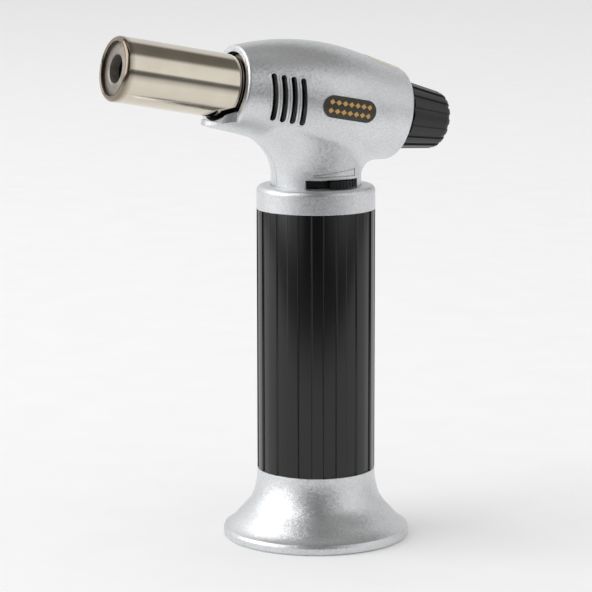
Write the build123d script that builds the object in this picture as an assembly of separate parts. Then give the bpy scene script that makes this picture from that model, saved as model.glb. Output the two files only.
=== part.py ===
from build123d import *
import os
from math import atan2, cos, degrees, hypot, radians, sin

# A hand-held butane torch that stands on its foot. Millimetres, +Z up, origin at the centre of the
# foot's underside. The burner points to -X and upwards; the lever and the badge are on the -Y side.

# Driving dimensions: handle
FOOT_RADIUS = 29.5
FOOT_TOP = 21.8
GRIP_RADIUS = 18.65
GRIP_TOP = 104.8
GRIP_RIBS = 15
GRIP_RIB_PHASE = 2.4
GRIP_GROOVE_DEPTH = 0.45
TANK_RADIUS = 17.0
TANK_WALL = 1.3
TANK_TOP = 102.5
CAP_TOP = 105.5
BOSS_TOP = 110.4
COLLAR_SEAT = 108.0
COLLAR_TOP = 112.3

# Driving dimensions: head
AXIS_HEIGHT = 138.4
AXIS_TILT = 10.4
NECK_RADIUS = 14.2
NECK_FILLET = 6.5
# The neck's forward flare under the burner: height, extra reach
NECK_FLARE = ((105.5, 0), (111, 0), (116.5, 0), (122, 2.0), (127.5, 7.5), (133, 15))
HEAD_WALL = 1.8
SEAM_GAP = 0.05
MOUTH_BORE = 11.0
MOUTH_PLACE = 31.0
KNOB_OPENING = 11.2
REAR_RIM = -28.4
REAR_ROUND = 2.0
MOUTH_ROUND = 0.9
CHIN_TIP = 37.4
CHIN_ROUND = 9
CHIN_TOP = -11.0

# Elliptical sections of the barrel: place along the burner axis, top, bottom, half width
HEAD_SECTIONS = (
    (-34, 11.9, 12.3, 11.6),
    (-23, 15.2, 15.4, 14.6),
    (-12, 17.1, 17.2, 16.4),
    (-1, 18.3, 18.0, 17.4),
    (10, 17.9, 16.6, 16.9),
    (21, 16.0, 14.4, 15.0),
    (32, 12.5, 13.4, 13.0),
    (40, 9.6, 12.1, 10.5),
)

# Lever window: angles are measured about the handle axis, from the burner's side towards -Y
WINDOW_ANGLES = (48, 125)
WINDOW_TOP = 115.0
LEVER_ANGLE = 93.0
LEVER_HALF_ANGLE = 15.2
RING_BOTTOM = 112.6
RING_TOP = 114.7
RING_RADIUS = 12.1

# Burner, all places along the burner axis
BURNER_RADIUS = 9.95
BURNER_WALL = 0.7
BURNER_FRONT = 70.4
BURNER_REAR = 24.0
BURNER_NECK = 9.2
HOLDER_RECESS = 1.65
FLAME_HOLE = 4.4
MIXER_RADIUS = 5.0
MIXER_BORE = 4.2
ELECTRODE_OFFSET = 7.2
HOLDER_REAR = 66.2

# Valve, spark unit and knob, all places along the burner axis
BLOCK_RADIUS = 5.0
BLOCK_REAR = -14.0
BLOCK_FRONT = 6.0
SPINDLE_RADIUS = 1.5
RUNNING_GAP = 0.06
PIEZO_OFFSET = 9.2
PIEZO_RADIUS = 3.3
PIEZO_REAR = -20.5
PUSH_TRAVEL = 4.5
KNOB_FRONT = -27.8
KNOB_RIB_FRONT = -30.0
KNOB_BACK = -45.2
KNOB_RIBS = 16
KNOB_GROOVE_WIDTH = 1.7
KNOB_RIB_HEIGHT = 0.45
KNOB_NECK = 9.9
HUB_STOP = -35.5

HEAD = Plane(
    origin=(0, 0, AXIS_HEIGHT),
    x_dir=(0, -1, 0),
    z_dir=(-cos(radians(AXIS_TILT)), 0, sin(radians(AXIS_TILT))),
).location
SIDE = Plane(origin=(0, 0, 0), x_dir=(0, 0, 1), z_dir=(-1, 0, 0))
TURNED = Plane.XZ
FLOOR = (Align.CENTER, Align.CENTER, Align.MIN)


def rod(radius, low, high, x=0, y=0):
    return Pos(x, y, low) * Cylinder(radius, high - low, align=FLOOR)


def pipe(outer, inner, low, high):
    return rod(outer, low, high) - rod(inner, low - 1, high + 1)


def hexagon(across_flats, low, high):
    outline = RegularPolygon(across_flats / 2, 6, major_radius=False)
    return Pos(0, 0, low) * extrude(outline, high - low)


def turned(*points):
    # A body of revolution about Z from (radius, height) corners
    return revolve(TURNED * make_face(Polyline(*points, close=True)), Axis.Z)


def ring_seal(radius, section, height):
    return Pos(0, 0, height) * Torus(radius, section)


def coil_spring(radius, wire, low, high, turns):
    # A compression spring on Z; the wire's centre line runs between the two seats
    length = high - low - 2 * wire
    line = Pos(0, 0, low + wire) * Helix(length / turns, length, radius)
    section = Plane(origin=line @ 0, z_dir=line % 0) * Circle(wire)
    return sweep(section, path=line, is_frenet=True)


def sector(radius, start, end, low, high):
    # A wedge of a disc; angles run from the burner's side (-X) towards -Y
    points = [(0, 0)]
    for step in range(9):
        turn = radians(180 + start + (end - start) * step / 8)
        points.append((radius * cos(turn), radius * sin(turn)))
    return Pos(0, 0, low) * extrude(make_face(Polyline(*points, close=True)), high - low)


# ---------------------------------------------------------------- handle

SCREW_CIRCLE = 11.0
SCREW_SHANK = 1.1
FOOT_PLATE = 19.5


def foot_shell():
    # Trumpet foot: a flared skin with a rolled rim, hollow from below, and a plate for the tank
    rim_top = 2.5
    flare = Spline(
        (FOOT_RADIUS - 0.35, rim_top + 0.6), (24.7, 7.1), (20.9, 11.6), (19.2, 16.4),
        (GRIP_RADIUS, FOOT_TOP), tangents=[(-1, 0.45), (0, 1)],
    )
    rim = Polyline(
        (0, FOOT_TOP), (0, 0), (FOOT_RADIUS - 0.5, 0), (FOOT_RADIUS, 0.5),
        (FOOT_RADIUS, rim_top - 0.3), (FOOT_RADIUS - 0.35, rim_top + 0.6),
    )
    top = Line((GRIP_RADIUS, FOOT_TOP), (0, FOOT_TOP))
    body = revolve(TURNED * make_face([rim, flare, top]), Axis.Z)
    inner = Spline((26.6, 0.9), (22.4, 5.2), (18.4, 10.6), (16.4, 17), tangents=[(-1, 0.5), (0, 1)])
    mouth = Polyline((0, 0), (27, 0), (26.6, 0.9))
    ceiling = Polyline((16.4, 17), (16.4, FOOT_PLATE), (0, FOOT_PLATE), (0, 0))
    body -= revolve(TURNED * make_face([mouth, inner, ceiling]), Axis.Z)
    body -= rod(6, FOOT_PLATE - 1, FOOT_TOP + 1)
    for place in PolarLocations(SCREW_CIRCLE, 3):
        body -= place * rod(SCREW_SHANK + 0.2, FOOT_PLATE - 1, FOOT_TOP + 1)
    return body


def foot_screws():
    screw = rod(2.2, FOOT_PLATE - 1.6, FOOT_PLATE) + rod(SCREW_SHANK, FOOT_PLATE, 29)
    screw -= Pos(0, 0, FOOT_PLATE - 1.6) * Box(3, 0.5, 1.2)
    screw -= Pos(0, 0, FOOT_PLATE - 1.6) * Box(0.5, 3, 1.2)
    return [place * screw for place in PolarLocations(SCREW_CIRCLE, 3)]


def grip_sleeve():
    # Ribs and grooves alternate, each half a pitch wide
    pitch = 360 / GRIP_RIBS
    sleeve = pipe(GRIP_RADIUS, TANK_RADIUS + 0.05, FOOT_TOP, GRIP_TOP)
    band = pipe(GRIP_RADIUS + 1, GRIP_RADIUS - GRIP_GROOVE_DEPTH, FOOT_TOP, GRIP_TOP)
    for index in range(GRIP_RIBS):
        start = GRIP_RIB_PHASE - 180 + pitch * (index + 0.25)
        sleeve -= band & sector(GRIP_RADIUS + 2, start, start + pitch / 2, FOOT_TOP, GRIP_TOP)
    return sleeve


def fuel_tank():
    inner = TANK_RADIUS - TANK_WALL
    tank = rod(TANK_RADIUS, FOOT_TOP, TANK_TOP) - rod(inner, FOOT_TOP + 2.4, TANK_TOP + 1)
    tank += rod(5.5, FOOT_TOP + 2, 31)
    for place in PolarLocations(SCREW_CIRCLE, 3):
        tank += place * rod(2.6, FOOT_TOP + 2, 31)
        tank -= place * rod(SCREW_SHANK, FOOT_TOP - 1, 29.5)
    return tank - rod(3, FOOT_TOP - 1, 32)


def tank_cap():
    plug = TANK_RADIUS - TANK_WALL - 0.05
    cap = rod(plug, 98.5, TANK_TOP) + rod(TANK_RADIUS - 0.15, TANK_TOP, CAP_TOP)
    cap -= pipe(plug + 1, 14.4, 99.6, 101)
    return cap + rod(8.5, CAP_TOP, BOSS_TOP) - rod(3.5, 98, 111)


def refill_valve_body():
    body = rod(3, 19.9, 31) + rod(4.2, 19.9, FOOT_TOP) + rod(2.2, 17, 19.9)
    body -= rod(1.2 + RUNNING_GAP, 16, 24.5)
    body -= rod(2.1, 24, 30)
    return body - rod(0.8, 29, 32)


def refill_stem():
    return rod(1.2, 15.5, 25.1) + rod(1.9, 25.1, 26) - rod(0.5, 15, 24)


def fuel_filter():
    return rod(2.4, 34, 44) - rod(1.2, 38, 45)


def tank_valve_body():
    # Threaded lower part, hexagon, and the round neck that the flame ring turns on
    body = rod(3.5, 101, BOSS_TOP) + hexagon(8, BOSS_TOP, 112.2) + rod(3, 112.2, 116.2)
    body += rod(2.2, 116.2, 119)
    body -= pipe(4, 2.7, 106.1, 106.9)
    body -= rod(1.25, 114, 120)
    body -= rod(1.2, 100, 104)
    return body - rod(0.6, 100, 115)


def collar_ring():
    ring = rod(GRIP_RADIUS, GRIP_TOP, COLLAR_TOP)
    ring = fillet(ring.edges().group_by(Axis.Z)[-1], 1.8)
    ring -= rod(TANK_RADIUS - 0.1, GRIP_TOP - 1, COLLAR_SEAT)
    return ring - rod(NECK_RADIUS + 0.1, COLLAR_SEAT - 1, COLLAR_TOP + 1)


def flame_ring():
    # Adjuster ring: a hub on the valve neck, a web, a rim behind the window, and a ribbed thumb piece
    ring = pipe(RING_RADIUS, 10.6, RING_BOTTOM, RING_TOP)
    ring += pipe(11, 5, RING_BOTTOM, RING_BOTTOM + 1.1)
    ring += pipe(5.6, 3 + RUNNING_GAP, RING_BOTTOM, RING_TOP)
    low_angle = LEVER_ANGLE - LEVER_HALF_ANGLE
    high_angle = LEVER_ANGLE + LEVER_HALF_ANGLE
    thumb = sector(20, low_angle, high_angle, RING_BOTTOM, RING_TOP)
    thumb &= pipe(15.9, 11, RING_BOTTOM, RING_TOP)
    ribs = 7
    for index in range(ribs):
        turn = radians(180 + low_angle + (index + 0.5) * 2 * LEVER_HALF_ANGLE / ribs)
        groove = rod(0.35, RING_BOTTOM, RING_TOP, 16.0 * cos(turn), 16.0 * sin(turn))
        thumb -= groove
    return ring + thumb


# ---------------------------------------------------------------- head

def barrel(first, last, inset):
    # Loft through the sections from first to last, all reduced by inset
    faces = []
    for place, top, bottom, half_width in HEAD_SECTIONS[first:last]:
        ellipse = Ellipse(half_width - inset, (top + bottom) / 2 - inset)
        faces.append(Pos(0, (top - bottom) / 2, place) * ellipse)
    return loft(faces)


def side_prism(outline):
    return extrude(SIDE * outline, 30, both=True)


def mouth_cut():
    # Everything in front of the flat mouth, above the chin that reaches forward under the burner
    bend = 4.0
    front = Line((MOUTH_PLACE, 20), (MOUTH_PLACE, CHIN_TOP + bend))
    corner = RadiusArc((MOUTH_PLACE, CHIN_TOP + bend), (MOUTH_PLACE + bend, CHIN_TOP), bend)
    edge = Polyline((MOUTH_PLACE + bend, CHIN_TOP), (45, CHIN_TOP), (45, 20), (MOUTH_PLACE, 20))
    return side_prism(make_face([front, corner, edge]))


def chin_cut():
    # Everything in front of the chin, whose tip is round when seen from above
    tip = Rot(90, 0, 0) * Cylinder(CHIN_ROUND, 70)
    return Pos(0, 0, MOUTH_PLACE + 15) * Box(60, 60, 30) - Pos(0, 0, CHIN_TIP - CHIN_ROUND) * tip


def flared_neck():
    faces = []
    for height, reach in NECK_FLARE:
        ellipse = Ellipse(NECK_RADIUS + reach / 2, NECK_RADIUS)
        faces.append(Pos(-reach / 2, 0, height) * ellipse)
    return loft(faces)


def neck_bite(edge):
    # True for the edge where the neck runs into the barrel
    box = edge.bounding_box()
    return box.min.Z > COLLAR_TOP + 6 and box.max.Z < AXIS_HEIGHT


def rear_corner(edge):
    # True for the outer edge of the barrel's flat rear end
    place = (HEAD.inverse() * Pos(*edge.center())).position
    return abs(place.Z - REAR_RIM) < 0.05


def mouth_corner(edge):
    # True for the outer edge of the flat mouth
    places = [(HEAD.inverse() * Pos(*edge.position_at(share))).position for share in (0.1, 0.5, 0.9)]
    flat = all(abs(place.Z - MOUTH_PLACE) < 0.05 for place in places)
    return flat and edge.geom_type != GeomType.LINE


def head_skin():
    skin = HEAD * barrel(0, len(HEAD_SECTIONS), 0)
    skin += flared_neck()
    skin = fillet(skin.edges().filter_by(neck_bite), NECK_FILLET)
    skin -= HEAD * rod(30, REAR_RIM - 20, REAR_RIM)
    skin = fillet(skin.edges().filter_by(rear_corner), REAR_ROUND)
    skin -= HEAD * chin_cut()
    skin -= HEAD * mouth_cut()
    skin = fillet(skin.edges().filter_by(mouth_corner), MOUTH_ROUND)
    return skin + rod(TANK_RADIUS - 0.3, CAP_TOP, COLLAR_SEAT)


def head_cavity():
    cavity = HEAD * (barrel(0, 7, HEAD_WALL) & rod(30, -27, 27.5))
    cavity += HEAD * rod(MOUTH_BORE, 26, 50)
    cavity += HEAD * rod(KNOB_OPENING, -45, -25)
    return cavity + rod(NECK_RADIUS - HEAD_WALL, CAP_TOP - 1, AXIS_HEIGHT)


VENT_FIRST = (-22.13, 141.58)
VENT_STEP = (3.03, -0.58)
VENT_WIDTH = 1.75
VENT_LENGTH = 14.4


def vents(grow):
    # Four upright slots through both sides, stepping down to the rear; grow widens them for their rims
    slots = []
    for index in range(4):
        place = Pos(VENT_FIRST[0] + VENT_STEP[0] * index, 0, VENT_FIRST[1] + VENT_STEP[1] * index)
        outline = Rot(0, 0, 90) * SlotOverall(VENT_LENGTH + 2 * grow, VENT_WIDTH + 2 * grow)
        slots.append(place * extrude(Plane.XZ * outline, 30, both=True))
    return slots


def vent_rims():
    # A low raised bead round each slot, following the barrel's surface
    rims = Part() + vents(0.5)
    return rims & (HEAD * barrel(0, 8, -0.3))


SCREW_SEAT = 9.0
SHELL_SCREW = 1.1


def shell_screw_places():
    # Behind and below the valve, below the mixing tube, and in the neck: world X and Z
    places = [(HEAD * Pos(0, -9.2, -17)).position, (HEAD * Pos(0, -10.2, 14.5)).position]
    return [(place.X, place.Z) for place in places] + [(7.5, 119.2)]


def across(radius, low, high, place):
    # A rod along +Y at a given X and Z
    return Pos(place[0], low, place[1]) * Rot(-90, 0, 0) * Cylinder(radius, high - low, align=FLOOR)


def head_ribs(cavity):
    # Ribs inside the head: burner ring, valve clamps, spark unit saddle and screw bosses
    ribs = HEAD * pipe(16, 10.65, 25, 27.5)
    clamp = Pos(0, 0, -3) * Box(30, 5, 10) - rod(BLOCK_RADIUS + 0.05, -20, 20)
    ribs += HEAD * clamp
    saddle = Pos(0, 12.5, -11.5) * Box(28, 12, 3) - rod(PIEZO_RADIUS + 0.05, -20, 0, 0, PIEZO_OFFSET)
    ribs += HEAD * saddle
    for place in shell_screw_places():
        ribs += across(2.7, -20, 20, place)
    return ribs & cavity


def lever_window():
    band = pipe(NECK_RADIUS + 5, NECK_RADIUS - HEAD_WALL - 1, COLLAR_TOP, WINDOW_TOP)
    return band & sector(30, *WINDOW_ANGLES, COLLAR_TOP, WINDOW_TOP)


def flow_mark():
    # Thin engraved wedge above the window: it grows towards the rear, as the flame does
    outer = make_face(Polyline((-7.4, 115.9), (6.9, 115.9), (6.9, 118.3), (-7.4, 116.75), close=True))
    inner = offset(outer, -0.25)
    mark = extrude(Plane.XZ * (outer - inner), 30)
    return mark & pipe(NECK_RADIUS + 3, NECK_RADIUS - 0.2, 115.5, 119)


def head_shells():
    cavity = head_cavity()
    skin = head_skin() + (vent_rims() - cavity)
    shell = skin - cavity + head_ribs(cavity)
    for slot in vents(0):
        shell -= slot
    shell -= lever_window() + flow_mark()
    left = shell & Pos(0, -50 - SEAM_GAP, 120) * Box(200, 100, 200)
    right = shell & Pos(0, 50 + SEAM_GAP, 120) * Box(200, 100, 200)
    for place in shell_screw_places():
        left -= across(SHELL_SCREW, -8, 1, place)
        right -= across(SHELL_SCREW + 0.15, -1, 20, place)
        right -= across(2.45, SCREW_SEAT, 20, place)
    return left, right


def shell_screws():
    screws = []
    for place in shell_screw_places():
        screw = across(SHELL_SCREW, -7.5, SCREW_SEAT, place) + across(2.3, SCREW_SEAT, SCREW_SEAT + 1.5, place)
        slot = Pos(place[0], SCREW_SEAT + 1.5, place[1])
        screw -= slot * Box(3, 1.4, 0.5)
        screw -= slot * Box(0.5, 1.4, 3)
        screws.append(screw)
    return screws


BADGE_PLACE = (-0.8, -2.8)
BADGE_SIZE = (19.2, 6.95)
BADGE_THICKNESS = 0.3
LABEL_PLACE = -20.2
LABEL_SIZE = (12.0, 11.0)


def side_badge():
    # A stadium plate that follows the left side of the barrel
    outline = SIDE * Pos(BADGE_PLACE[1], BADGE_PLACE[0]) * SlotOverall(*BADGE_SIZE)
    plate = extrude(outline, -30) & barrel(0, 8, -BADGE_THICKNESS)
    return HEAD * (plate - barrel(0, len(HEAD_SECTIONS), 0))


def top_label():
    # A thin foil on the ridge behind the middle of the barrel
    outline = RectangleRounded(LABEL_SIZE[1], LABEL_SIZE[0], 1.2)
    patch = extrude(Plane.XZ.offset(-30) * Pos(0, LABEL_PLACE) * outline, 25)
    foil = patch & barrel(0, 8, -0.12)
    return HEAD * (foil - barrel(0, len(HEAD_SECTIONS), 0))


# ---------------------------------------------------------------- gas valve

def valve_block():
    block = HEAD * rod(BLOCK_RADIUS, BLOCK_REAR, BLOCK_FRONT)
    block += rod(3.1, 129.5, AXIS_HEIGHT)
    block -= HEAD * rod(2, BLOCK_REAR - 1, -1.5)
    block -= HEAD * rod(0.6, -3, BLOCK_FRONT)
    block -= HEAD * rod(1.5, 0.5, BLOCK_FRONT + 1)
    block -= rod(1.25, 129, 133.4)
    return block - rod(0.6, 129, AXIS_HEIGHT)


def gland_nut():
    nut = rod(1.98, BLOCK_REAR, -11) + hexagon(8, -17, BLOCK_REAR) + rod(5.4, -18, -17)
    return HEAD * (nut - rod(SPINDLE_RADIUS + RUNNING_GAP, -19, -10))


def valve_spindle():
    # Needle point, shaft, and a flat at the rear end that drives the knob
    shaft = rod(SPINDLE_RADIUS, -36.5, -4) + Pos(0, 0, -4) * Cone(SPINDLE_RADIUS, 0.4, 2, align=FLOOR)
    shaft -= Pos(0, 2.1, -31) * Box(4, 2, 12)
    return HEAD * (shaft - pipe(2, 1.1, HUB_STOP - 0.7, HUB_STOP - 0.1))


def spindle_clip():
    clip = pipe(2.6, 1.1, HUB_STOP - 0.65, HUB_STOP - 0.15)
    return HEAD * (clip - Pos(0, -2.5, HUB_STOP) * Box(1.3, 5, 3))


CAP_RADIUS = 5.4
CAP_PLACE = -44.4


def knob_profile(drop):
    # Half section of the grip, drop is the distance below the crest of the ribs
    return (
        (KNOB_RIB_FRONT, 10.95 - drop), (-43.2, 9.15 - drop), (-44.2, 8.75 - drop), (-44.9, 8.0 - drop),
        (KNOB_BACK, 7.0),
    )


def knob_body(drop):
    points = [(0, KNOB_RIB_FRONT)] + [(radius, place) for place, radius in knob_profile(drop)]
    return turned(*points, (0, KNOB_BACK))


def control_knob():
    knob = knob_body(0)
    skin = knob - knob_body(KNOB_RIB_HEIGHT)
    for index in range(KNOB_RIBS):
        cutter = Rot(0, 0, 360 * (index + 0.53) / KNOB_RIBS) * Pos(10, 0, -38) * Box(8, KNOB_GROOVE_WIDTH, 20)
        knob -= skin & cutter
    knob += rod(KNOB_NECK, KNOB_RIB_FRONT, KNOB_FRONT)
    knob -= pipe(7.6, 3.6, -41, KNOB_FRONT + 1)
    knob -= pipe(8.6, 3.6, -36, KNOB_FRONT + 1)
    knob -= rod(3.7, -31, KNOB_FRONT + 1)
    bore = rod(SPINDLE_RADIUS + RUNNING_GAP, -46, -30)
    bore -= Pos(0, 2.1 + RUNNING_GAP, -35) * Box(4, 2, 12)
    knob -= bore
    knob -= rod(2.9, -46, HUB_STOP)
    return HEAD * (knob - rod(CAP_RADIUS, -46, CAP_PLACE))


def knob_cap():
    return HEAD * rod(CAP_RADIUS, KNOB_BACK, CAP_PLACE)


# ---------------------------------------------------------------- spark unit

def piezo_case():
    case = rod(PIEZO_RADIUS, PIEZO_REAR, 0, 0, PIEZO_OFFSET)
    return HEAD * (case - rod(1.6 + RUNNING_GAP, PIEZO_REAR - 1, -3, 0, PIEZO_OFFSET))


def piezo_plunger():
    plunger = rod(1.6, KNOB_FRONT + 0.3, -12, 0, PIEZO_OFFSET)
    return HEAD * fillet(plunger.edges().group_by(Axis.Z)[0], 0.4)


LEAD_RADIUS = 0.8
LEAD_ROUTE = ((PIEZO_OFFSET, 0), (PIEZO_OFFSET, 6), (ELECTRODE_OFFSET, 12), (ELECTRODE_OFFSET, 18))


def ignition_lead():
    # Two straight runs and a slant, joined by arcs as large as the runs allow
    half_turn = atan2(PIEZO_OFFSET - ELECTRODE_OFFSET, 6) / 2
    bend = 0.45 * 6 * cos(half_turn) / sin(half_turn)
    print("ignition lead bend radius", round(bend, 1), "mm, half turn", round(degrees(half_turn), 1))
    path = FilletPolyline(*[(0, height, place) for height, place in LEAD_ROUTE], radius=bend)
    section = Plane(origin=path @ 0, z_dir=path % 0) * Circle(LEAD_RADIUS)
    return HEAD * sweep(section, path=path)


def electrode_insulator():
    return HEAD * (rod(1.2, 18, 60, 0, ELECTRODE_OFFSET) - rod(0.4, 17, 61, 0, ELECTRODE_OFFSET))


def electrode_wire():
    return HEAD * rod(0.4, 18, 64.5, 0, ELECTRODE_OFFSET)


# ---------------------------------------------------------------- burner

def jet_holder():
    holder = rod(1.5, 0.5, BLOCK_FRONT) + hexagon(7, BLOCK_FRONT, 10) + rod(2.6, 10, 13)
    return HEAD * (holder - rod(0.6, 0, 14) - rod(1, 10.5, 14))


def gas_jet():
    jet = rod(1, 10.5, 13) + rod(1.8, 13, 14.5)
    return HEAD * (jet - rod(0.5, 10, 14) - rod(0.2, 10, 15))


def mixing_tube():
    return HEAD * pipe(MIXER_RADIUS, MIXER_BORE, 13.4, HOLDER_REAR)


def wire_screen():
    screen = rod(MIXER_BORE, 62.0, 62.4)
    pitch = 1.3
    for row in range(-2, 3):
        for column in range(-2, 3):
            if abs(row) + abs(column) < 4:
                screen -= Pos(row * pitch, column * pitch, 62.2) * Box(0.9, 0.9, 2)
    return HEAD * screen


def burner_mount():
    # Cup that centres the burner tube, with air holes round the mixing tube
    mount = rod(10.6, BURNER_REAR - 2, BURNER_REAR + 4.5) - rod(BURNER_NECK + 0.04, BURNER_REAR, 30)
    mount -= rod(MIXER_RADIUS + 0.04, 10, 30)
    mount -= rod(1.2, 10, 30, 0, ELECTRODE_OFFSET)
    for index in range(1, 8):
        turn = radians(90 + 45 * index)
        mount -= rod(1.4, 10, 30, ELECTRODE_OFFSET * cos(turn), ELECTRODE_OFFSET * sin(turn))
    return HEAD * mount


def burner_tube():
    # Drawn tube: a smaller neck inside the head, a rounded shoulder, and a front lip rolled inwards
    roll = 1.25
    shoulder = 30.6
    bore = BURNER_RADIUS - BURNER_WALL
    neck_bore = BURNER_NECK - BURNER_WALL
    crest = BURNER_RADIUS - roll
    outside = [
        Line((neck_bore, BURNER_REAR), (BURNER_NECK, BURNER_REAR)),
        Line((BURNER_NECK, BURNER_REAR), (BURNER_NECK, shoulder)),
        Spline((BURNER_NECK, shoulder), (BURNER_RADIUS, shoulder + 1.5), tangents=[(1, 0.5), (0, 1)]),
        Line((BURNER_RADIUS, shoulder + 1.5), (BURNER_RADIUS, BURNER_FRONT - roll)),
        RadiusArc((BURNER_RADIUS, BURNER_FRONT - roll), (crest, BURNER_FRONT), -roll),
        RadiusArc((crest, BURNER_FRONT), (crest - 0.45, BURNER_FRONT - 0.45), -0.45),
        Line((crest - 0.45, BURNER_FRONT - 0.45), (bore, BURNER_FRONT - roll)),
        Line((bore, BURNER_FRONT - roll), (bore, shoulder + 2.2)),
        Line((bore, shoulder + 2.2), (neck_bore, shoulder + 1)),
        Line((neck_bore, shoulder + 1), (neck_bore, BURNER_REAR)),
    ]
    return HEAD * revolve(TURNED * make_face(outside), Axis.Z)


def flame_holder():
    # A pressed ring, slightly coned towards the flame hole
    rim = BURNER_FRONT - HOLDER_RECESS
    crown = rim + 0.8
    bore = BURNER_RADIUS - BURNER_WALL - 0.04
    return HEAD * turned(
        (FLAME_HOLE, HOLDER_REAR), (bore, HOLDER_REAR), (bore, rim),
        (FLAME_HOLE + 0.5, crown), (FLAME_HOLE, crown - 0.3),
    )


def write(name, shape):
    if isinstance(shape, list):
        shape = Compound(children=shape)
    export_step(shape, f"parts/{name}.step")


os.makedirs("parts", exist_ok=True)
head_shell_left, head_shell_right = head_shells()
TANK_BORE = TANK_RADIUS - TANK_WALL
NODES = {
    "foot_shell": foot_shell(),
    "foot_screws": foot_screws(),
    "grip_sleeve": grip_sleeve(),
    "fuel_tank": fuel_tank(),
    "tank_cap": tank_cap(),
    "tank_cap_seal": ring_seal(15.0, 0.58, 100.3),
    "refill_valve_body": refill_valve_body(),
    "refill_seal": ring_seal(1.68, 0.35, 24.62),
    "refill_stem": refill_stem(),
    "refill_spring": coil_spring(1.4, 0.2, 26, 29.9, 5),
    "pickup_tube": pipe(1.2, 0.7, 38, 104),
    "fuel_filter": fuel_filter(),
    "tank_valve_body": tank_valve_body(),
    "tank_valve_seal": ring_seal(3.08, 0.38, 106.5),
    "flame_ring": flame_ring(),
    "collar_ring": collar_ring(),
    "head_shell_left": head_shell_left,
    "head_shell_right": head_shell_right,
    "shell_screws": shell_screws(),
    "side_badge": side_badge(),
    "top_label": top_label(),
    "feed_tube": pipe(1.25, 0.7, 115, 133.3),
    "valve_block": valve_block(),
    "gland_nut": gland_nut(),
    "spindle_seal": HEAD * ring_seal(1.77, 0.22, -10.5),
    "valve_spindle": valve_spindle(),
    "spindle_clip": spindle_clip(),
    "control_knob": control_knob(),
    "knob_cap": knob_cap(),
    "knob_spring": HEAD * coil_spring(4.8, 0.45, -40.9, -18.1, 7),
    "piezo_case": piezo_case(),
    "piezo_plunger": piezo_plunger(),
    "piezo_spring": HEAD * Pos(0, PIEZO_OFFSET) * coil_spring(1.2, 0.2, -11.9, -3.1, 9),
    "ignition_lead": ignition_lead(),
    "electrode_insulator": electrode_insulator(),
    "electrode_wire": electrode_wire(),
    "jet_holder": jet_holder(),
    "gas_jet": gas_jet(),
    "mixing_tube": mixing_tube(),
    "wire_screen": wire_screen(),
    "burner_mount": burner_mount(),
    "burner_tube": burner_tube(),
    "flame_holder": flame_holder(),
}
for node, shape in NODES.items():
    write(node, shape)
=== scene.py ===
from math import atan2, cos, degrees, pi, radians, sin, sqrt, tau

import bpy
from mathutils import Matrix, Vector


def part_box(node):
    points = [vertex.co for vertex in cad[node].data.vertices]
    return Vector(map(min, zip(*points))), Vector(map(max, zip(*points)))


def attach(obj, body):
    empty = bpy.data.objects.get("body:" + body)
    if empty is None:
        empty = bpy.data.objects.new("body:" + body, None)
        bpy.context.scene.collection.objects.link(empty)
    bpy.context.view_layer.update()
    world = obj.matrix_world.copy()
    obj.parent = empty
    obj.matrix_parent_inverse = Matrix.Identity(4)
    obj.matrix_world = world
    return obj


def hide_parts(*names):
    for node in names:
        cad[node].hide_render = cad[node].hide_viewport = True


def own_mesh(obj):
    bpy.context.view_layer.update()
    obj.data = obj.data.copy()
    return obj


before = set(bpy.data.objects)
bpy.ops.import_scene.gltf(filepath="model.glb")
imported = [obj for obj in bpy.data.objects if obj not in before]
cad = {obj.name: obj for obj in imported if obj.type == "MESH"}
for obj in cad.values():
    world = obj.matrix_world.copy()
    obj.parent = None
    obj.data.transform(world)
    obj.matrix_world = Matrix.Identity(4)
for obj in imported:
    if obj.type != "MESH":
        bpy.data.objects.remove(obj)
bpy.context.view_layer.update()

MM = 0.001

# ---------------------------------------------------------------- foot, collar and head castings
# The trumpet foot, the collar and the two head halves are thin zinc castings under one satin silver
# lacquer with coarse metal flakes. The foot is screwed up against the bottom of the fuel tank, the
# collar is pressed over its top, and the head halves are screwed together along the middle.
AXIS_HEIGHT = 138.4 * MM
AXIS_TILT = radians(10.4)
BURNER_WAY = (-cos(AXIS_TILT), 0, sin(AXIS_TILT))
UPWARD_WAY = (sin(AXIS_TILT), 0, cos(AXIS_TILT))
NECK_HEIGHT = 126 * MM
FLAKE = 0.3 * MM
FLAKE_LEAN = 0.15
DARK_FLAKE, LIGHT_FLAKE = 0.89, 1.08
CASTING_EDGE = 0.35 * MM
LACQUER_CLOUD = 11.1 * MM
INWARD_FACING = -0.3
# Numbers of a Mix node's inputs and outputs, which share their names
VECTOR_A, VECTOR_B, VECTOR_MIX = 4, 5, 1
COLOUR_A, COLOUR_B, COLOUR_MIX = 6, 7, 2


def linear(code):
    """An sRGB hex colour as linear RGBA."""
    parts = [int(code[i:i + 2], 16) / 255 for i in (1, 3, 5)]
    return tuple(c / 12.92 if c <= 0.04045 else ((c + 0.055) / 1.055) ** 2.4 for c in parts) + (1.0,)


def add(tree, kind, sockets=None, **settings):
    """Adds a shader node with its settings. Each input in sockets gets a value or another node's output."""
    made = tree.nodes.new("ShaderNode" + kind)
    for name, value in settings.items():
        setattr(made, name, value)
    for name, value in (sockets or {}).items():
        if isinstance(value, bpy.types.NodeSocket):
            tree.links.new(value, made.inputs[name])
        else:
            made.inputs[name].default_value = value
    return made


def start_material(name, **values):
    """A new material: its node tree, Principled shader with those values, and Object coordinates."""
    material = bpy.data.materials.new(name)
    material.use_nodes = True
    tree = material.node_tree
    tree.nodes.clear()
    shader = add(tree, "BsdfPrincipled")
    for socket, value in values.items():
        shader.inputs[socket.replace("_", " ")].default_value = value
    add(tree, "OutputMaterial", {"Surface": shader.outputs["BSDF"]})
    return material, tree, shader, add(tree, "TexCoord").outputs["Object"]


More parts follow.
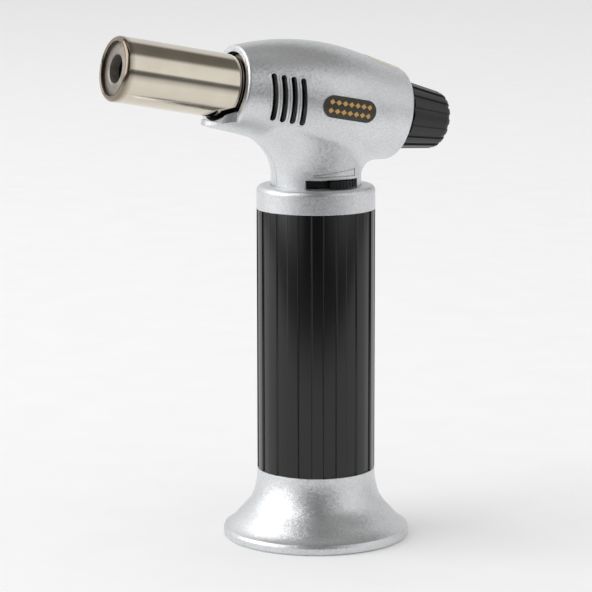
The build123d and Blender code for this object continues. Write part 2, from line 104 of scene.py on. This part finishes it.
def bands(ramp, stops):
    """Gives a colour ramp its (position, hex colour) stops, and returns its colour."""
    elements = ramp.color_ramp.elements
    while len(elements) < len(stops):
        elements.new(0.5)
    for element, (position, code) in zip(elements, stops):
        element.position = position
        element.color = linear(code)
    return ramp.outputs["Color"]


def mottle(tree, place, size, dark, light, **noise_values):
    """Noise with features of that size, and the colour that it gives between dark and light."""
    noise = add(tree, "TexNoise", {"Vector": place, "Scale": 1 / size, **noise_values}).outputs["Fac"]
    return noise, bands(add(tree, "ValToRGB", {"Fac": noise}), ((0.3, dark), (0.7, light)))


def finish_cad(material, *names):
    """Gives CAD nodes that stay in view their finish."""
    for name in names:
        for slot in cad[name].material_slots:
            slot.material = material


# The flakes are drawn 0.3 mm across, coarser than real ones, so that they show. Each leans its own way
# and has its own shade, which is the grain seen where the lacquer turns from light to dark.
silver, tree, shader, place = start_material("silver_flake_lacquer", Metallic=1.0, Roughness=0.4)
flakes = add(tree, "TexVoronoi", {"Vector": place, "Scale": 1 / FLAKE}).outputs["Color"]
centred = add(tree, "VectorMath", {0: flakes, 1: (0.5, 0.5, 0.5)}, operation="SUBTRACT")
lean = add(tree, "VectorMath", {0: centred.outputs["Vector"], "Scale": FLAKE_LEAN}, operation="SCALE")
edge = add(tree, "Bevel", {"Radius": CASTING_EDGE}, samples=4)
leaning = add(tree, "VectorMath", {0: edge.outputs["Normal"], 1: lean.outputs["Vector"]}, operation="ADD")
facing = add(tree, "VectorMath", {0: leaning.outputs["Vector"]}, operation="NORMALIZE")
tree.links.new(facing.outputs["Vector"], shader.inputs["Normal"])

# Inside, the castings are unlacquered zinc, and their colour there is also painted shade: dull dark zinc
# wherever the surface looks towards the handle's axis or, above the neck, towards the burner's axis
from_handle = add(tree, "VectorMath", {0: place, 1: (1, 1, 0)}, operation="MULTIPLY").outputs["Vector"]
raised = add(tree, "VectorMath", {0: place, 1: (0, 0, AXIS_HEIGHT)}, operation="SUBTRACT").outputs["Vector"]
along = add(tree, "VectorMath", {0: raised, 1: BURNER_WAY}, operation="DOT_PRODUCT")
on_axis = add(tree, "VectorMath", {0: BURNER_WAY, "Scale": along.outputs["Value"]}, operation="SCALE")
from_burner = add(tree, "VectorMath", {0: raised, 1: on_axis.outputs["Vector"]}, operation="SUBTRACT")
height = add(tree, "SeparateXYZ", {"Vector": place}).outputs["Z"]
in_head = add(tree, "Math", {0: height, 1: NECK_HEIGHT}, operation="GREATER_THAN").outputs["Value"]
outwards = add(
    tree, "Mix",
    {"Factor": in_head, VECTOR_A: from_handle, VECTOR_B: from_burner.outputs["Vector"]},
    data_type="VECTOR",
)
outward = add(tree, "VectorMath", {0: outwards.outputs[VECTOR_MIX]}, operation="NORMALIZE").outputs["Vector"]
plain = add(tree, "NewGeometry").outputs["Normal"]
looks = add(tree, "VectorMath", {0: plain, 1: outward}, operation="DOT_PRODUCT").outputs["Value"]
inside = add(tree, "Math", {0: looks, 1: INWARD_FACING}, operation="LESS_THAN").outputs["Value"]
_, tone = mottle(tree, place, LACQUER_CLOUD, "#dadcde", "#e0e2e4", Detail=3.0)
# Painted shade: this dark colour stands both for the unlacquered zinc and for the shade inside the castings
zinc = linear("#47474a")
unlacquered_and_shaded = add(tree, "Mix", {"Factor": inside, COLOUR_A: tone, COLOUR_B: zinc}, data_type="RGBA")
flake_shade = add(tree, "SeparateXYZ", {"Vector": flakes}).outputs["X"]
glint = add(
    tree, "MapRange", {"Value": flake_shade, "To Min": DARK_FLAKE, "To Max": LIGHT_FLAKE},
).outputs["Result"]
shaded = {0: unlacquered_and_shaded.outputs[COLOUR_MIX], "Scale": glint}
grained = add(tree, "VectorMath", shaded, operation="SCALE")
tree.links.new(grained.outputs["Vector"], shader.inputs["Base Color"])
finish_cad(silver, "foot_shell", "collar_ring", "head_shell_left", "head_shell_right")

# ---------------------------------------------------------------- screws and steel parts
# Bright zinc-plated steel: three screws up through the foot, three across the head, the circlip, the gas
# valve's spindle and the spark electrode's wire. Turning and drawing leave fine scratches in it.
SCRATCH = 0.625 * MM
SCREW_EDGE = 0.12 * MM
plated, tree, shader, place = start_material("zinc_plated_steel", Metallic=1.0)
scratch, tone = mottle(tree, place, SCRATCH, "#a9aaad", "#c4c5c8", Detail=4.0, Distortion=0.6)
rough = add(tree, "MapRange", {"Value": scratch, "To Min": 0.22, "To Max": 0.42})
rounded = add(tree, "Bevel", {"Radius": SCREW_EDGE}, samples=4)
tree.links.new(tone, shader.inputs["Base Color"])
tree.links.new(rough.outputs["Result"], shader.inputs["Roughness"])
tree.links.new(rounded.outputs["Normal"], shader.inputs["Normal"])
finish_cad(plated, "foot_screws", "shell_screws", "valve_spindle", "spindle_clip", "electrode_wire")

# ---------------------------------------------------------------- tank and gas parts
# A drawn aluminium tank and its cap, hidden by the grip, and turned brass for everything that the
# gas runs through: refill valve, filter, tank valve, feed tube, valve block, gland nut and jet.
DRAWING_LINE = 1.11 * MM
LINE_STRETCH = (1, 1, 0.02)
bright, tree, shader, place = start_material("drawn_aluminium", Metallic=1.0)
stretch = add(tree, "Mapping", {"Vector": place, "Scale": LINE_STRETCH}).outputs["Vector"]
lines, tone = mottle(tree, stretch, DRAWING_LINE, "#bfc1c4", "#d3d4d6", Detail=3.0)
rough = add(tree, "MapRange", {"Value": lines, "To Min": 0.25, "To Max": 0.4})
tree.links.new(tone, shader.inputs["Base Color"])
tree.links.new(rough.outputs["Result"], shader.inputs["Roughness"])
finish_cad(bright, "fuel_tank", "tank_cap")

TURNING_MARK = 0.77 * MM
BRASS_EDGE = 0.15 * MM
brass, tree, shader, place = start_material("turned_brass", Metallic=1.0)
marks, tone = mottle(tree, place, TURNING_MARK, "#a98a4c", "#c4a562", Detail=4.0)
rough = add(tree, "MapRange", {"Value": marks, "To Min": 0.2, "To Max": 0.38})
rounded = add(tree, "Bevel", {"Radius": BRASS_EDGE}, samples=4)
tree.links.new(tone, shader.inputs["Base Color"])
tree.links.new(rough.outputs["Result"], shader.inputs["Roughness"])
tree.links.new(rounded.outputs["Normal"], shader.inputs["Normal"])
finish_cad(brass, "refill_valve_body", "refill_stem", "fuel_filter", "tank_valve_body", "feed_tube")
finish_cad(brass, "gland_nut")

# The valve block and the jet parts in the head are brass painted dark, as painted shade for the inside of
# the head
DARK_BRASS_MOTTLE = 1.667 * MM
# Painted shade: these dark colours stand for the shade that these parts lie in behind the vents
shade_darkened_brass, tree, shader, place = start_material("brass_painted_shade_dark", Metallic=0.8, Roughness=0.5)
_, tone = mottle(tree, place, DARK_BRASS_MOTTLE, "#3c3933", "#524d44", Detail=4.0)
rounded = add(tree, "Bevel", {"Radius": BRASS_EDGE}, samples=4)
tree.links.new(tone, shader.inputs["Base Color"])
tree.links.new(rounded.outputs["Normal"], shader.inputs["Normal"])
finish_cad(shade_darkened_brass, "valve_block", "jet_holder", "gas_jet")

# ---------------------------------------------------------------- seals, lead and tubes
# Nitrile rubber rings, the silicone-covered spark lead, the milky nylon pickup tube in the tank, the
# moulded spark unit and the white ceramic that carries the electrode.
rubber, tree, shader, place = start_material("nitrile_rubber", Roughness=0.6)
_, tone = mottle(tree, place, 1.43 * MM, "#161616", "#222222", Detail=3.0)
tree.links.new(tone, shader.inputs["Base Color"])
finish_cad(rubber, "tank_cap_seal", "refill_seal", "tank_valve_seal", "spindle_seal")

silicone, tree, shader, place = start_material("red_silicone", Roughness=0.45)
_, tone = mottle(tree, place, 2 * MM, "#7c1f18", "#8e2a20", Detail=2.0)
tree.links.new(tone, shader.inputs["Base Color"])
finish_cad(silicone, "ignition_lead")

nylon, tree, shader, place = start_material("milky_nylon", Roughness=0.35, IOR=1.53)
_, tone = mottle(tree, place, 3.33 * MM, "#d5d8d2", "#e2e4de", Detail=2.0)
tree.links.new(tone, shader.inputs["Base Color"])
finish_cad(nylon, "pickup_tube")

acetal, tree, shader, place = start_material("grey_acetal", Roughness=0.42, IOR=1.48)
_, tone = mottle(tree, place, 0.667 * MM, "#74767a", "#808286", Detail=3.0)
tree.links.new(tone, shader.inputs["Base Color"])
finish_cad(acetal, "piezo_case", "piezo_plunger")

ceramic, tree, shader, place = start_material("glazed_alumina", Roughness=0.22, IOR=1.6)
_, tone = mottle(tree, place, 0.91 * MM, "#e4e1d8", "#efede6", Detail=2.0)
tree.links.new(tone, shader.inputs["Base Color"])
finish_cad(ceramic, "electrode_insulator")

# ---------------------------------------------------------------- grip
# The black sleeve pushed over the fuel tank: glossy moulded ABS with fifteen broad flat ribs from end
# to end. Ribs and grooves are each half a pitch wide, and the mould leaves their corners rounded.
GRIP_RADIUS = 18.65 * MM
GRIP_BORE = 17.05 * MM
GROOVE_DEPTH = 0.45 * MM
GRIP_CORNER = 0.14 * MM
GRIP_RIBS = 15
GRIP_RIB_PHASE = 2.4
RIB_STEPS = 40
MOULD_GRAIN = 0.667 * MM
MOULD_RELIEF = 0.1 * MM
grip_low, grip_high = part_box("grip_sleeve")


def add_primitive(kind, name, **options):
    """Adds a mesh primitive with nothing else selected, and goes into edit mode with all of it selected."""
    bpy.ops.object.select_all(action="DESELECT")
    getattr(bpy.ops.mesh, f"primitive_{kind}_add")(**options)
    piece = bpy.context.object
    piece.name = name
    piece.data.name = name
    bpy.ops.object.transform_apply(location=True, rotation=True, scale=True)
    bpy.ops.object.mode_set(mode="EDIT")
    bpy.ops.mesh.select_all(action="SELECT")
    return piece


def pick_vertices(piece, wanted):
    """Selects the vertices that pass the test wanted(point)."""
    bpy.ops.mesh.select_mode(type="VERT")
    bpy.ops.mesh.select_all(action="DESELECT")
    bpy.ops.object.mode_set(mode="OBJECT")
    for vertex in piece.data.vertices:
        vertex.select = wanted(vertex.co)
    bpy.ops.object.mode_set(mode="EDIT")


def apply_modifier(piece, kind, **settings):
    """Adds a modifier with those settings and applies it."""
    modifier = piece.modifiers.new(kind.lower(), kind)
    for name, value in settings.items():
        setattr(modifier, name, value)
    bpy.ops.object.modifier_apply(modifier=modifier.name)


def close_piece(piece, body, material, replaced, angle=30):
    """Closes a finished mesh, and fixes the piece to its body with its material, for a CAD node."""
    if bpy.context.mode != "EDIT_MESH":
        bpy.ops.object.mode_set(mode="EDIT")
    bpy.ops.mesh.select_all(action="SELECT")
    bpy.ops.mesh.remove_doubles(threshold=0.001 * MM)
    bpy.ops.mesh.normals_make_consistent(inside=False)
    bpy.ops.object.mode_set(mode="OBJECT")
    bpy.ops.object.shade_smooth_by_angle(angle=radians(angle))
    piece.data.materials.clear()
    piece.data.materials.append(material)
    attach(piece, body)
    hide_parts(replaced)


def in_groove(point):
    """True where a point round the handle lies in a groove and not on a rib."""
    turn = degrees(atan2(point.y, point.x)) - GRIP_RIB_PHASE
    share = (turn * GRIP_RIBS / 360) % 1
    return 0.25 < share < 0.75


grip_foot = (0, 0, grip_low[2])
grip = add_primitive(
    "circle", "ribbed_grip", vertices=GRIP_RIBS * RIB_STEPS, radius=GRIP_RADIUS, location=grip_foot,
)
pick_vertices(grip, in_groove)
shrink = 1 - GROOVE_DEPTH / GRIP_RADIUS
bpy.ops.transform.resize(value=(shrink, shrink, 1), center_override=grip_foot)
bpy.ops.mesh.select_all(action="SELECT")
bpy.ops.mesh.extrude_region_move(TRANSFORM_OT_translate={"value": (0, 0, grip_high[2] - grip_low[2])})
bpy.ops.mesh.select_all(action="SELECT")
bpy.ops.mesh.normals_make_consistent(inside=False)
bpy.ops.object.mode_set(mode="OBJECT")
apply_modifier(grip, "SOLIDIFY", thickness=GRIP_RADIUS - GROOVE_DEPTH - GRIP_BORE, offset=-1)
apply_modifier(grip, "BEVEL", width=GRIP_CORNER, segments=3, limit_method="ANGLE", angle_limit=radians(35))

# ABS straight from the mould has a gloss with a faint grain
grip_black, tree, shader, place = start_material("moulded_abs", Roughness=0.2, IOR=1.5)
grain, tone = mottle(tree, place, MOULD_GRAIN, "#08090b", "#0c0d0f", Detail=3.0)
relief = add(tree, "Bump", {"Height": grain, "Strength": 0.04, "Distance": MOULD_RELIEF})
tree.links.new(relief.outputs["Normal"], shader.inputs["Normal"])
tree.links.new(tone, shader.inputs["Base Color"])
close_piece(grip, "handle", grip_black, "grip_sleeve")

# ---------------------------------------------------------------- springs
# Three coil springs of plated wire: one behind the gas knob, one in the spark unit, and one under the
# refill stem.
WIRE_SIDES = 12
COIL_STEPS = 40
PIEZO_OFFSET = 9.2 * MM
QUARTER_TURN = radians(90)


def coil_spring(name, node, radius, wire, low, high, turns, upright=False, offset=0):
    """A coil along Z from low to high, or along the burner axis if not upright."""
    coil = add_primitive(
        "circle", name, vertices=WIRE_SIDES, radius=wire, location=(radius, 0, low + wire),
        rotation=(QUARTER_TURN, 0, 0),
    )
    bpy.ops.object.mode_set(mode="OBJECT")
    pitch = (high - low - 2 * wire) / turns
    apply_modifier(
        coil, "SCREW", axis="Z", angle=tau, screw_offset=pitch, iterations=turns,
        steps=COIL_STEPS, render_steps=COIL_STEPS,
    )
    bpy.ops.object.mode_set(mode="EDIT")
    bpy.ops.mesh.select_all(action="SELECT")
    bpy.ops.mesh.fill_holes(sides=0)
    bpy.ops.object.mode_set(mode="OBJECT")
    axis, fixed_end = (0, 0, 1), (0, 0, high)
    if not upright:
        axis = BURNER_WAY
        fixed_end = (axis[0] * high, 0, AXIS_HEIGHT + axis[2] * high)
        coil.rotation_euler = (0, AXIS_TILT - QUARTER_TURN, 0)
        coil.location = (UPWARD_WAY[0] * offset, 0, AXIS_HEIGHT + UPWARD_WAY[2] * offset)
        bpy.ops.object.transform_apply(location=True, rotation=True, scale=True)
    close_piece(coil, "handle", plated, node, angle=60)
    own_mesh(coil)


coil_spring(
    "knob_return_spring", "knob_spring", radius=4.8 * MM, wire=0.45 * MM,
    low=-40.9 * MM, high=-18.1 * MM, turns=7,
)
coil_spring(
    "spark_return_spring", "piezo_spring", radius=1.2 * MM, wire=0.2 * MM,
    low=-11.9 * MM, high=-3.1 * MM, turns=9, offset=PIEZO_OFFSET,
)
coil_spring(
    "refill_return_spring", "refill_spring", radius=1.4 * MM, wire=0.2 * MM,
    low=26.04 * MM, high=29.9 * MM, turns=5, upright=True,
)

# ---------------------------------------------------------------- flame lever
# The ribbed thumb piece that looks out of the window in the neck, and its ring round the tank valve:
# one glossy black moulding, turned to set the size of the flame.
LEVER_GRAIN = 0.833 * MM
LEVER_EDGE = 0.2 * MM
lever_black, tree, shader, place = start_material("glossy_lever_plastic", Roughness=0.18, IOR=1.5)
_, tone = mottle(tree, place, LEVER_GRAIN, "#0c0c0d", "#131314", Detail=2.0)
rounded = add(tree, "Bevel", {"Radius": LEVER_EDGE}, samples=4)
tree.links.new(tone, shader.inputs["Base Color"])
tree.links.new(rounded.outputs["Normal"], shader.inputs["Normal"])
finish_cad(lever_black, "flame_ring")

# ---------------------------------------------------------------- badge and top label
# A thin enamelled plate stuck on the left side of the head, dark brown-black, with a plain gold ornament
# of two rows of lozenges, and a pale foil label on the ridge behind the middle of the head.
LOZENGE_PITCH = 2.3 * MM
LOZENGE_HEIGHT = 0.95 * MM
LOZENGE_FILL = 0.9
ROW_OFFSET = 1.35 * MM
ROW_HALF_LENGTH = 7.6 * MM
ENAMEL_MOTTLE = 1.43 * MM
badge_low, badge_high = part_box("side_badge")
badge_middle = tuple((low + high) / 2 for low, high in zip(badge_low, badge_high))
badge_black, tree, shader, place = start_material("badge_enamel", Roughness=0.35, IOR=1.5)
_, tone = mottle(tree, place, ENAMEL_MOTTLE, "#2b2922", "#35332c", Detail=3.0)
offset = add(tree, "VectorMath", {0: place, 1: badge_middle}, operation="SUBTRACT").outputs["Vector"]
along = add(tree, "VectorMath", {0: offset, 1: BURNER_WAY}, operation="DOT_PRODUCT").outputs["Value"]
above = add(tree, "VectorMath", {0: offset, 1: UPWARD_WAY}, operation="DOT_PRODUCT").outputs["Value"]
saw = add(tree, "Math", {0: along, 1: LOZENGE_PITCH / 2}, operation="PINGPONG").outputs["Value"]
across = add(tree, "Math", {0: saw, 1: LOZENGE_PITCH / 2}, operation="DIVIDE").outputs["Value"]
either = add(tree, "Math", {0: above}, operation="ABSOLUTE").outputs["Value"]
from_row = add(tree, "Math", {0: either, 1: ROW_OFFSET}, operation="SUBTRACT").outputs["Value"]
off_row = add(tree, "Math", {0: from_row}, operation="ABSOLUTE").outputs["Value"]
upright = add(tree, "Math", {0: off_row, 1: LOZENGE_HEIGHT}, operation="DIVIDE").outputs["Value"]
reach = add(tree, "Math", {0: across, 1: upright}, operation="ADD").outputs["Value"]
lozenge = add(tree, "Math", {0: reach, 1: LOZENGE_FILL}, operation="LESS_THAN").outputs["Value"]
sideways = add(tree, "Math", {0: along}, operation="ABSOLUTE").outputs["Value"]
in_row = add(tree, "Math", {0: sideways, 1: ROW_HALF_LENGTH}, operation="LESS_THAN").outputs["Value"]
inked = add(tree, "Math", {0: lozenge, 1: in_row}, operation="MULTIPLY").outputs["Value"]
gold = linear("#b98f4e")
printed = add(tree, "Mix", {"Factor": inked, COLOUR_A: tone, COLOUR_B: gold}, data_type="RGBA")
tree.links.new(printed.outputs[COLOUR_MIX], shader.inputs["Base Color"])
finish_cad(badge_black, "side_badge")

# The foil has a gold band along the ridge, hatched with fine brown lines
GOLD_HALF_WIDTH = 4.1 * MM
HATCH_SPACING = 0.518 * MM
HATCH_SCALE = tau / (10 * sqrt(3) * HATCH_SPACING)
foil, tree, shader, place = start_material("printed_foil", Metallic=0.2, Roughness=0.4)
sideways = add(tree, "SeparateXYZ", {"Vector": place}).outputs["Y"]
off_ridge = add(tree, "Math", {0: sideways}, operation="ABSOLUTE").outputs["Value"]
band = add(tree, "Math", {0: off_ridge, 1: GOLD_HALF_WIDTH}, operation="LESS_THAN").outputs["Value"]
hatch = add(
    tree, "TexWave", {"Vector": place, "Scale": HATCH_SCALE, "Distortion": 0.3}, bands_direction="DIAGONAL",
)
hatched = bands(add(tree, "ValToRGB", {"Fac": hatch.outputs["Fac"]}), ((0.12, "#a06a2c"), (0.3, "#dcae66")))
pale = linear("#d8d6cc")
printed = add(tree, "Mix", {"Factor": band, COLOUR_A: pale, COLOUR_B: hatched}, data_type="RGBA")
tree.links.new(printed.outputs[COLOUR_MIX], shader.inputs["Base Color"])
finish_cad(foil, "top_label")

# ---------------------------------------------------------------- gas knob
# The black knob that turns on the gas and is pressed to light it: matt moulded ABS, with a smooth
# round plate let into its rear end.
KNOB_GRAIN = 0.588 * MM
KNOB_EDGE = 0.25 * MM
knob_black, tree, shader, place = start_material("knob_moulded_abs", Roughness=0.34, IOR=1.5)
grain, tone = mottle(tree, place, KNOB_GRAIN, "#19191b", "#1f1f21", Detail=3.0)
rounded = add(tree, "Bevel", {"Radius": KNOB_EDGE}, samples=4).outputs["Normal"]
relief = add(tree, "Bump", {"Height": grain, "Strength": 0.08, "Distance": MOULD_RELIEF, "Normal": rounded})
tree.links.new(relief.outputs["Normal"], shader.inputs["Normal"])
tree.links.new(tone, shader.inputs["Base Color"])
finish_cad(knob_black, "control_knob", "knob_cap")

# ---------------------------------------------------------------- burner
# The flame tube is drawn stainless steel, polished, straw-tinted and browned at its front by heat, with
# its front lip rolled inwards. It holds a dull ring with the flame hole, the screen and the mixing tube.
HEAT_TINT = 9.09 * MM
SCORCH_START = 67.5 * MM
SCORCH_END = 69.7 * MM
stainless, tree, shader, place = start_material("heat_tinted_stainless", Metallic=1.0)
tint, tone = mottle(tree, place, HEAT_TINT, "#d4cbbb", "#ddd5c6", Detail=4.0)
rough = add(tree, "MapRange", {"Value": tint, "To Min": 0.07, "To Max": 0.14})
raised = add(tree, "VectorMath", {0: place, 1: (0, 0, AXIS_HEIGHT)}, operation="SUBTRACT").outputs["Vector"]
along = add(tree, "VectorMath", {0: raised, 1: BURNER_WAY}, operation="DOT_PRODUCT").outputs["Value"]
near_lip = add(tree, "MapRange", {"Value": along, "From Min": SCORCH_START, "From Max": SCORCH_END})
brown = linear("#8d8273")
scorched = add(
    tree, "Mix", {"Factor": near_lip.outputs["Result"], COLOUR_A: tone, COLOUR_B: brown}, data_type="RGBA",
)
tree.links.new(scorched.outputs[COLOUR_MIX], shader.inputs["Base Color"])
tree.links.new(rough.outputs["Result"], shader.inputs["Roughness"])
finish_cad(stainless, "burner_tube")

dull, tree, shader, place = start_material("heat_dulled_steel", Metallic=0.7, Roughness=0.5)
_, tone = mottle(tree, place, 2 * MM, "#8e8880", "#a29c94", Detail=4.0)
tree.links.new(tone, shader.inputs["Base Color"])
finish_cad(dull, "flame_holder", "burner_mount")

# The mixing tube and the screen are painted near black: partly heat browning, partly painted shade inside
# the burner and the head
heat_and_shade_dark, tree, shader, place = start_material("heat_browned_and_shaded_steel", Metallic=0.6, Roughness=0.6)
_, tone = mottle(tree, place, 2.5 * MM, "#1c1812", "#262018", Detail=4.0)
tree.links.new(tone, shader.inputs["Base Color"])
finish_cad(heat_and_shade_dark, "mixing_tube", "wire_screen")

# ---------------------------------------------------------------- studio
# A white table that runs out of sight, light walls on both sides, a dim ceiling and a dim room in
# front, one big soft lamp on the left and a little behind, and the camera.
CAMERA_WAY = (-0.485, -0.875, 0)
PAPER_FIBRE = 25 * MM
TABLE_EDGE, TABLE_END = 0.17, 0.52
floor = add_primitive("circle", "floor", vertices=96, radius=14, fill_type="NGON", location=(0, 0, 0))
bpy.ops.object.mode_set(mode="OBJECT")
card, tree, shader, place = start_material("matt_table_paper", Roughness=0.9)
_, tone = mottle(tree, place, PAPER_FIBRE, "#f3f3f3", "#f5f5f5")
# In reflections the table fades out in front of the torch, where the dim room begins
ahead = add(tree, "VectorMath", {0: place, 1: CAMERA_WAY}, operation="DOT_PRODUCT").outputs["Value"]
past_edge = add(
    tree, "MapRange", {"Value": ahead, "From Min": TABLE_EDGE, "From Max": TABLE_END},
).outputs["Result"]
glossy = add(tree, "LightPath").outputs["Is Glossy Ray"]
mirrored = add(tree, "Math", {0: past_edge, 1: glossy}, operation="MULTIPLY").outputs["Value"]
dim = linear("#585858")
table = add(tree, "Mix", {"Factor": mirrored, COLOUR_A: tone, COLOUR_B: dim}, data_type="RGBA")
tree.links.new(table.outputs[COLOUR_MIX], shader.inputs["Base Color"])
floor.data.materials.append(card)

scene = bpy.context.scene
world = bpy.data.worlds.new("studio")
scene.world = world
world.use_nodes = True
tree = world.node_tree
tree.nodes.clear()
aim = add(tree, "TexCoord").outputs["Generated"]
rise = add(tree, "SeparateXYZ", {"Vector": aim}).outputs["Z"]
level = add(tree, "VectorMath", {0: aim, 1: (1, 1, 0)}, operation="MULTIPLY")
compass = add(tree, "VectorMath", {0: level.outputs["Vector"]}, operation="NORMALIZE").outputs["Vector"]
# The walls by compass: 0.5 is the dim room in front, a little left of the camera; 0 and 1 are behind
DIM_WAY = (-0.57, -0.82, 0)
RIGHT_WAY = (0.82, -0.57, 0)
front = add(tree, "VectorMath", {0: compass, 1: DIM_WAY}, operation="DOT_PRODUCT").outputs["Value"]
right = add(tree, "VectorMath", {0: compass, 1: RIGHT_WAY}, operation="DOT_PRODUCT").outputs["Value"]
turn = add(tree, "Math", {0: right, 1: front}, operation="ARCTAN2").outputs["Value"]
share = add(tree, "MapRange", {"Value": turn, "From Min": -pi, "From Max": pi})
around = bands(add(tree, "ValToRGB", {"Fac": share.outputs["Result"]}), (
    (0.0, "#e4e4e4"), (0.2, "#ffffff"), (0.41, "#ffffff"), (0.46, "#565656"), (0.55, "#4c4c4c"),
    (0.62, "#c4c4c4"), (0.67, "#ffffff"), (0.75, "#f4f4f4"), (0.84, "#d4d4d4"), (1.0, "#ececec"),
))
horizon = bands(add(tree, "ValToRGB", {"Fac": rise}), ((0.02, "#707070"), (0.07, "#ffffff")))
# The ceiling has a dim ring in it, round a lighter patch over the torch and a little to the right
CEILING_WAY = (0.12, 0, 0.993)
overhead = add(tree, "VectorMath", {0: aim, 1: CEILING_WAY}, operation="DOT_PRODUCT").outputs["Value"]
ceiling = bands(add(tree, "ValToRGB", {"Fac": overhead}), (
    (0.71, "#fafafa"), (0.81, "#7c7874"), (0.9, "#8c8884"), (0.98, "#d0d0d0"),
))
walls = add(
    tree, "Mix", {"Factor": 1.0, COLOUR_A: around, COLOUR_B: horizon},
    data_type="RGBA", blend_type="MULTIPLY",
)
room = add(
    tree, "Mix", {"Factor": 1.0, COLOUR_A: walls.outputs[COLOUR_MIX], COLOUR_B: ceiling},
    data_type="RGBA", blend_type="MULTIPLY",
)
# Only reflections see this room; all other rays see an even pale grey
EVEN_GREY = (0.835, 0.835, 0.835, 1)
glossy = add(tree, "LightPath").outputs["Is Glossy Ray"]
sky = add(
    tree, "Mix", {"Factor": glossy, COLOUR_A: EVEN_GREY, COLOUR_B: room.outputs[COLOUR_MIX]},
    data_type="RGBA",
)
glow = add(tree, "Background", {"Color": sky.outputs[COLOUR_MIX], "Strength": 1.0})
add(tree, "OutputWorld", {"Surface": glow.outputs["Background"]})

LAMP_PLACE = Vector((-2.2, 0.7, 1.6))
LAMP_TARGET = Vector((0, 0, 0.09))
lamp = bpy.data.lights.new("key", "AREA")
lamp.shape = "RECTANGLE"
lamp.size = lamp.size_y = 2.9
lamp.energy = 40
lamp_holder = bpy.data.objects.new("key", lamp)
scene.collection.objects.link(lamp_holder)
lamp_holder.location = LAMP_PLACE
lamp_holder.rotation_euler = (LAMP_TARGET - LAMP_PLACE).to_track_quat("-Z", "Y").to_euler()

camera = bpy.data.cameras.new("camera")
camera.sensor_width = 36
camera.lens = 152.03
camera.shift_x = -0.0334
camera.clip_end = 100
viewer = bpy.data.objects.new("camera", camera)
scene.collection.objects.link(viewer)
viewer.location = (-0.3777, -0.6813, 0.2071)
viewer.rotation_euler = (radians(80.5), 0, radians(-29.0))
scene.camera = viewer
scene.view_settings.view_transform = "Standard"
